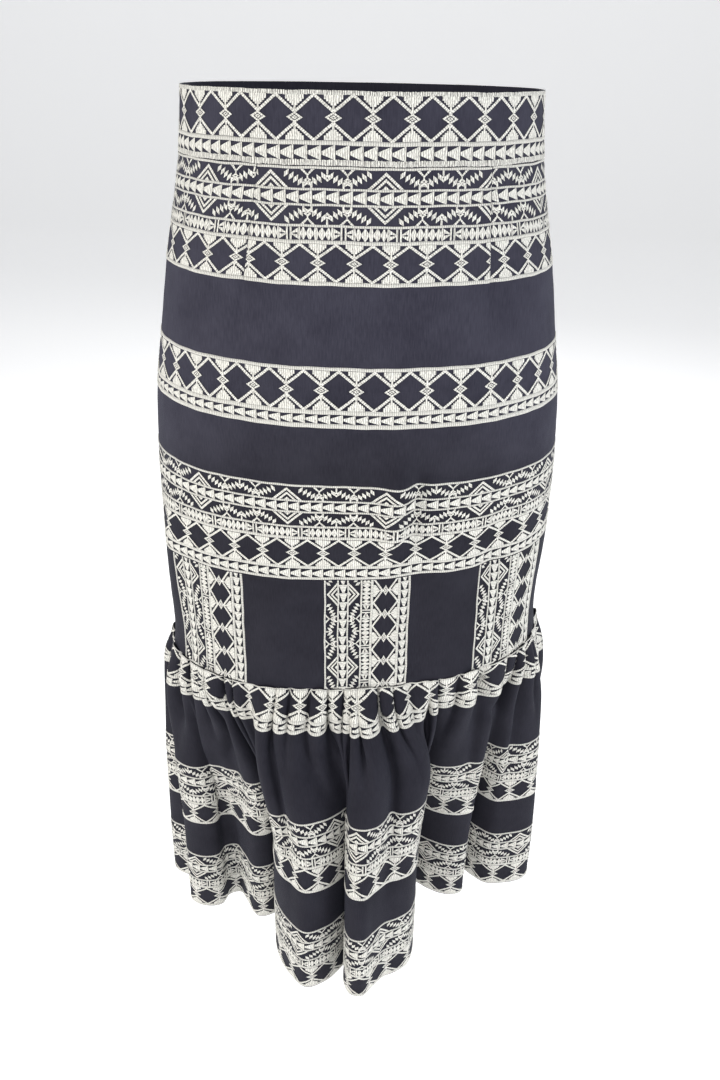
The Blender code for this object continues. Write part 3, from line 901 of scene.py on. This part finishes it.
def leaf(u, v):
    """A slanting lozenge of thread, u to the left of the middle, that leans to the right."""
    corners = [(0.069, -0.23), (0.056, 0.055), (-0.069, 0.23), (-0.056, -0.055)]
    return ([(across - u, v + down) for across, down in corners], UPRIGHT)


half_chevron = []
for apex, thick in CHEVRONS:
    outer, inner = (1 - apex) * CHEVRON_SLOPE, (1 - apex - thick) * CHEVRON_SLOPE
    half_chevron.append(([(-outer, 1.0), (0, apex), (0, apex + thick), (-inner, 1.0)], RISING))
half_chevron.append(([(-0.10, 1.0), (0, 0.80), (0, 1.0)], UPRIGHT))

half_arm = [leaf(*at) for at in LEAVES]
swag = half_arm + mirrored(half_arm) + [leaf(*TOP_LEAF)]
half_drop = [([(-0.200, 0.0), (-0.107, 0.0), (0, 0.265), (0, 0.385)], FALLING)]
half_star = rhomb_ring(0.110, 0.155, 0.28, 0.59)
half_leg = [([(-0.137, 0.68), (-0.088, 0.66), (-0.078, 1.0), (-0.137, 1.0)], UPRIGHT)]
half_leg += [([(-0.086, 0.66), (0, 0.73), (0, 0.82), (-0.082, 0.90)], FALLING)]
stem = [upright_bar(-0.020, 0.020, 0.37, 0.47)]
foot = half_drop + half_star + half_leg
swag += foot + mirrored(foot) + stem
half_knot = rhomb_ring(0.100, 0.200, 0.28, 0.46)
knot_stem = [([(-0.030, 0.0), (0.030, 0.0), (0.024, 0.27), (-0.024, 0.27)], UPRIGHT)]
garland = half_chevron + mirrored(half_chevron)
garland += moved(swag, GARLAND_MIDDLE - SWAG_FROM_MIDDLE)
garland += moved(mirrored(swag), GARLAND_MIDDLE + SWAG_FROM_MIDDLE)
garland += moved(half_knot + mirrored(half_knot) + knot_stem, GARLAND_MIDDLE)
garlands_up = sewn_motif("garlands_up", garland, GARLAND_HEIGHT, GARLAND_PITCH)
garlands_down = sewn_motif("garlands_down", flipped(garland), GARLAND_HEIGHT, GARLAND_PITCH)

# The row of teeth: pairs of upright bars and single bars midway, and between them an arrow head with
# a small eye and a chain of blunt lozenges.
TEETH_HEIGHT = 0.0095
TEETH_PITCH = 1.5
CHAIN_TOP = (
    (0.282, 0.0), (0.318, 0.0), (0.334, 0.42), (0.386, 0.03), (0.422, 0.03), (0.486, 0.42),
    (0.562, 0.03), (0.604, 0.03), (0.690, 0.42), (0.716, 0.0), (0.7495, 0.0),
)

half_head = [([(0.083, 0.40), (0.272, 0.05), (0.272, 0.42), (0.195, 0.43), (0.083, 0.497)], UPRIGHT)]
half_teeth = [upright_bar(0.028, 0.078)] + half_head + flipped(half_head)
half_teeth += [upright_bar(0.240, 0.272, 0.42, 0.58)]
half_teeth += [(list(CHAIN_TOP) + [(u, 1 - v) for u, v in reversed(CHAIN_TOP)], UPRIGHT)]
teeth = sewn_motif("teeth", half_teeth + mirrored(half_teeth), TEETH_HEIGHT, TEETH_PITCH)


# The coarse line: single upright stitches of uneven length side by side, along the waistband's edges.
COARSE_STITCH = 0.0013
COARSE_HEIGHT = 0.0034
COARSE_COUNT = 24
uneven = np.random.default_rng(7)
coarse_bars = []
for n in range(COARSE_COUNT):
    ends = (n + 0.16 * uneven.random(), n + 0.84 + 0.10 * uneven.random())
    start, end = (k * COARSE_STITCH / PITCH for k in ends)
    upper, lower = -0.12 * uneven.random(), 1 + 0.14 * uneven.random()
    slant = 0.012 * (uneven.random() - 0.5)
    corners = [(start + slant, upper), (end + slant, upper + 0.05), (end, lower), (start, lower - 0.04)]
    coarse_bars.append((corners, UPRIGHT))
coarse_line = sewn_motif("coarse_line", coarse_bars, COARSE_HEIGHT, COARSE_COUNT * COARSE_STITCH / PITCH)


# The bands. A band is rows of motifs between satin lines, sewn along the cloth. Each is laid out
# flat, cut at the seams and darts, and then pressed onto the draped cloth.
Row = namedtuple("Row", "motif height start")
LINE_STEP = 0.0040
LINE_DRIFT, FINE_DRIFT = 0.00022, 0.00016  # how far the sewing strays from a straight line


def line_motif(step):
    """A short length of a satin line, open at its ends, one unit high."""
    edge = 0.16
    points = np.array(
        [(x, -y, z) for x in (0.0, step) for y, z in ((0, 0), (edge, 1), (1 - edge, 1), (1, 0))]
    )
    points[:, 2] *= THREAD_HEIGHT + THREAD_SUNK
    quads = [(0, 4, 5, 1), (1, 5, 6, 2), (2, 6, 7, 3), (3, 7, 4, 0)]
    corners = np.array(quads)[:, ::-1].ravel()
    starts = np.arange(4) * 4
    stitches = points[corners, :2].copy()
    return Motif(points, corners, starts, stitches, step, 1.0)


line = line_motif(LINE_STEP)
gathered_line = line_motif(GATHERED_CELL)


def laid_row(row, top, height, first, last, scale):
    """Copies of a row's motif from first to last, as flat points and faces."""
    motif = row.motif
    period, start = motif.period * scale, row.start * PITCH * scale
    copies = np.arange(math.floor((first - start) / period) - 1, math.ceil((last - start) / period) + 2)
    points = np.tile(motif.points, (len(copies), 1))
    points[:, 0] = points[:, 0] * scale + np.repeat(copies * period + start, len(motif.points))
    points[:, 1] = points[:, 1] * height / motif.height - top
    stitches = np.tile(motif.stitches, (len(copies), 1))
    stitches[:, 0] += np.repeat(copies * period, len(motif.corners))
    count, point_count, corner_count = len(copies), len(motif.points), len(motif.corners)
    corners = np.tile(motif.corners, count) + np.repeat(np.arange(count) * point_count, corner_count)
    starts = np.tile(motif.starts, count) + np.repeat(np.arange(count) * corner_count, len(motif.starts))
    return points, corners, starts, stitches


def flat_band(rows, depth, left, right, scale=1.0):
    """The whole band laid flat with its top at 0, cut off at its left and right ends.

    left and right each give where that end lies at the band's top and at its bottom.
    """
    total = sum(row.height for row in rows)
    top, parts, point_count, corner_count = 0.0, [], 0, 0
    for row in rows:
        height = row.height / total * depth
        points, corners, starts, stitches = laid_row(row, top, height, min(left), max(right), scale)
        parts.append((points, corners + point_count, starts + corner_count, stitches))
        point_count += len(points)
        corner_count += len(corners)
        top += height
    points, corners, starts, stitches = (np.concatenate(part) for part in zip(*parts))
    mesh = bpy.data.meshes.new("band")
    mesh.vertices.add(len(points))
    mesh.vertices.foreach_set("co", points.ravel())
    mesh.loops.add(len(corners))
    mesh.loops.foreach_set("vertex_index", corners)
    mesh.polygons.add(len(starts))
    mesh.polygons.foreach_set("loop_start", starts)
    mesh.update(calc_edges=True)
    layer = mesh.uv_layers.new(name="stitches")
    layer.uv.foreach_set("vector", stitches.ravel())
    mesh.validate()
    band = bpy.data.objects.new("band", mesh)
    bpy.context.scene.collection.objects.link(band)
    bpy.ops.object.select_all(action="DESELECT")
    band.select_set(True)
    bpy.context.view_layer.objects.active = band
    bpy.ops.object.mode_set(mode="EDIT")
    bpy.ops.mesh.select_all(action="SELECT")
    bpy.ops.mesh.remove_doubles(threshold=1e-6)
    for (upper, lower), outwards in ((left, -1), (right, 1)):
        facing = Vector((depth, lower - upper, 0)).normalized() * outwards
        bpy.ops.mesh.select_all(action="SELECT")
        bpy.ops.mesh.bisect(
            plane_co=(upper, 0, 0), plane_no=facing, use_fill=True, clear_outer=True, threshold=1e-7
        )
    bpy.ops.object.mode_set(mode="OBJECT")
    return band


def sewn_on(name, bands, wall, places):
    """Press flat bands onto the cloth and join them into one piece; places says where a band goes."""
    for band, place in zip(bands, places):
        along, up, out = read_all(band.data.vertices, "co", 3).T
        wave = LINE_DRIFT * np.sin(along / 0.0131) + FINE_DRIFT * np.sin(along / 0.0047 + up / 0.009)
        draped = place(along, -up + wave, out - THREAD_SUNK + 0.5 * wall)
        band.data.vertices.foreach_set("co", draped.ravel())
        band.data.update()
    bpy.ops.object.select_all(action="DESELECT")
    for band in bands:
        band.select_set(True)
    bpy.context.view_layer.objects.active = bands[0]
    if len(bands) > 1:
        bpy.ops.object.join()
    piece = bands[0]
    piece.name = piece.data.name = name
    bpy.ops.object.shade_smooth_by_angle(angle=math.radians(65))
    piece.data.materials.clear()
    piece.data.materials.append(thread)
    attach(piece, "root")
    return piece


def between_lines(depths, *rows, satin=line):
    """Rows of motifs, with a satin line of one of these depths above, between and below them."""
    laid = [Row(satin, depths[0], 0)]
    for row, depth in zip(rows, depths[1:]):
        laid += [Row(*row), Row(satin, depth, 0)]
    return laid


def diamond_rows(lattice_start, arrow_start):
    """The narrow band: diamonds over a row of arrows."""
    rows = (lattice, 0.633, lattice_start), (arrows, 0.150, arrow_start)
    return between_lines((0.058, 0.078, 0.081), *rows)


def garland_rows(chevron_start, arrow_start, teeth_start, lattice_start):
    """The wide band: two rows of garlands about a row of arrows, teeth, and diamonds."""
    return between_lines(
        (0.075, 0.068, 0.068, 0.075, 0.110, 0.120),
        (garlands_up, 0.490, chevron_start),
        (arrows, 0.345, arrow_start),
        (garlands_down, 0.490, chevron_start),
        (teeth, 0.350, teeth_start),
        (lattice, 1.040, lattice_start),
    )


def knee_rows(chevron_start, arrow_start, teeth_start, lattice_start):
    """The widest band: the wide band with a second row of arrows below it."""
    upper = garland_rows(chevron_start, arrow_start, teeth_start, lattice_start)
    return upper + [Row(arrows, 0.330, arrow_start), Row(line, 0.100, 0)]


def thread_reach(side, drop):
    """How far the embroidery of a panel of the tube reaches to each side of its middle."""
    return tube_reach(side, drop)[1] - THREAD_FROM_SEAM


def round_tube(side, top_drop, shift=None):
    """Where a band that runs round the tube lies; shift moves it round at each drop."""

    def place(along, down, out):
        drop = np.clip(top_drop + down, 0, SEAM_DROP)
        return on_tube(along + tube_reach(side, drop)[0] + (shift(drop) if shift else 0.0), drop, out)

    return place


def round_band(name, side, rows, top_drop, bottom_drop, wall, scale=1.0):
    """A band sewn round a whole panel of the tube."""
    upper, lower = thread_reach(side, top_drop), thread_reach(side, bottom_drop)
    band = flat_band(rows, bottom_drop - top_drop, (-upper, -lower), (upper, lower), scale)
    return sewn_on(name + "_" + side, [band], wall, [round_tube(side, top_drop)])


# The waistband's embroidery: diamonds over arrows, over the whole depth of the strip, between two
# coarse lines.
THREAD_FROM_SEAM = 0.0006
EDGE_INSET = 0.0002
ROUND_SCALE = 1.02
WAISTBAND_STARTS = {"back": (0.306, 0.10), "front": (0.5, 0.2)}
for side, (lattice_start, arrow_start) in WAISTBAND_STARTS.items():
    rows = [
        Row(coarse_line, 0.055, 0),
        Row(lattice, 0.606, lattice_start),
        Row(line, 0.066, 0),
        Row(arrows, 0.200, arrow_start),
        Row(coarse_line, 0.073, 0.3),
    ]
    bottom = WAISTBAND_DEPTH - 2 * EDGE_INSET
    round_band("waistband_embroidery", side, rows, EDGE_INSET, bottom, WAISTBAND_WALL, ROUND_SCALE)

# The yoke band: the wide band just below the waistband. It was embroidered before the darts were
# closed, so its pattern is cut off at each dart and goes on out of step on the other side.
YOKE_DEPTH = 0.0852
DART_INTAKE = 0.030
YOKE_TOP = WAISTBAND_DEPTH + 0.0003
YOKE_STARTS = {"back": (0.69, 0.2, 1.08, -0.12), "front": (1.3, 0.1, 0.4, 0.5)}


def taken_in(dart, drop):
    """How much cloth a dart holds at this drop."""
    return DART_INTAKE * np.clip((dart.bottom_drop - drop) / (dart.bottom_drop - dart.top_drop), 0, 1)


for side, darts in (("back", BACK_DARTS), ("front", FRONT_DARTS)):
    ends = np.array([YOKE_TOP, YOKE_TOP + YOKE_DEPTH])
    seams, gap = thread_reach(side, ends), 0.5 * THREAD_FROM_SEAM
    left, right = (dart_line(dart, ends) for dart in darts)
    left_held, right_held = (taken_in(dart, ends) for dart in darts)
    parts = (
        (left + gap, right - gap, None),
        (-seams - left_held, left - left_held - gap, lambda drop, dart=darts[0]: taken_in(dart, drop)),
        (right + right_held + gap, seams + right_held, lambda drop, dart=darts[1]: -taken_in(dart, drop)),
    )
    rows = garland_rows(*YOKE_STARTS[side])
    bands = [flat_band(rows, YOKE_DEPTH, first, last) for first, last, shift in parts]
    places = [round_tube(side, YOKE_TOP, shift) for first, last, shift in parts]
    sewn_on("yoke_embroidery_" + side, bands, SKIRT_WALL, places)

# The hip band, diamonds over arrows, and the knee band, the widest one.
HIP_TOP, HIP_BOTTOM = 0.1976, 0.2484
KNEE_TOP, KNEE_BOTTOM = 0.3029, 0.4013
HIP_STARTS = {"back": (0.0, 0.0), "front": (0.5, 0.2)}
KNEE_STARTS = {"back": (0.98, 0.1, 1.27, 0.0), "front": (0.2, 0.3, 0.6, 0.5)}
for side in ("back", "front"):
    hip_rows = diamond_rows(*HIP_STARTS[side])
    round_band("hip_embroidery", side, hip_rows, HIP_TOP, HIP_BOTTOM, SKIRT_WALL, ROUND_SCALE)
    round_band("knee_embroidery", side, knee_rows(*KNEE_STARTS[side]), KNEE_TOP, KNEE_BOTTOM, SKIRT_WALL)

# The upright bands between the knee band and the flounce: the same rows turned on their side, their
# chevrons pointing left, with plain cloth between them.
UPRIGHT_SCALE = 0.95
UPRIGHT_STARTS = (0.93, 0.1, 0.3, 0.15)
UPRIGHT_BANDS = {
    "back": ((-0.1927, -0.1065), (-0.0275, 0.0530), (0.1210, 0.2030)),
    "front": ((-0.2010, -0.1190), (-0.0410, 0.0410), (0.1190, 0.2010)),
}


def up_tube(side, left):
    """Where an upright band lies: along it is up the skirt, and down it is to the right."""

    def place(along, down, out):
        drop = SEAM_DROP - THREAD_FROM_SEAM - along
        return on_tube(left + down + tube_reach(side, drop)[0], drop, out)

    return place


for side, edges in UPRIGHT_BANDS.items():
    reach = SEAM_DROP - KNEE_BOTTOM - 2 * THREAD_FROM_SEAM
    rows = knee_rows(*UPRIGHT_STARTS)
    bands = [flat_band(rows, right - left, (0, 0), (reach, reach), UPRIGHT_SCALE) for left, right in edges]
    places = [up_tube(side, left) for left, right in edges]
    sewn_on("upright_embroidery_" + side, bands, SKIRT_WALL, places)

# The flounce's embroidery, sewn on the flat strip before it was gathered: diamonds over arrows at the
# seam, the wide band half way down, and the wide band again at the hem.
GATHERED_ROWS = between_lines(
    (0.030, 0.078, 0.081),
    (gathered_lattice, 0.633, 0.2),
    (gathered_arrows, 0.150, 0.1),
    satin=gathered_line,
)
FLOUNCE_BANDS = (
    ("seam", GATHERED_ROWS, 0.0002, 0.0455),
    ("middle", garland_rows(0.4, 0.1, 0.7, 0.35), 0.1425, 0.2285),
    ("hem", garland_rows(1.7, 0.2, 0.2, 0.1), 0.2815, 0.3672),
)


def round_flounce(top):
    """Where a band that runs round the flounce lies."""

    def place(along, down, out):
        return on_flounce(along, np.clip(top + down, 0, FLOUNCE_CUT), out)

    return place


for side in ("back", "front"):
    first, last = FLOUNCE_ENDS[side]
    first, last = first + THREAD_FROM_SEAM, last - THREAD_FROM_SEAM
    for name, rows, top, bottom in FLOUNCE_BANDS:
        band = flat_band(rows, bottom - top, (first, first), (last, last))
        sewn_on("flounce_" + name + "_embroidery_" + side, [band], SKIRT_WALL, [round_flounce(top)])
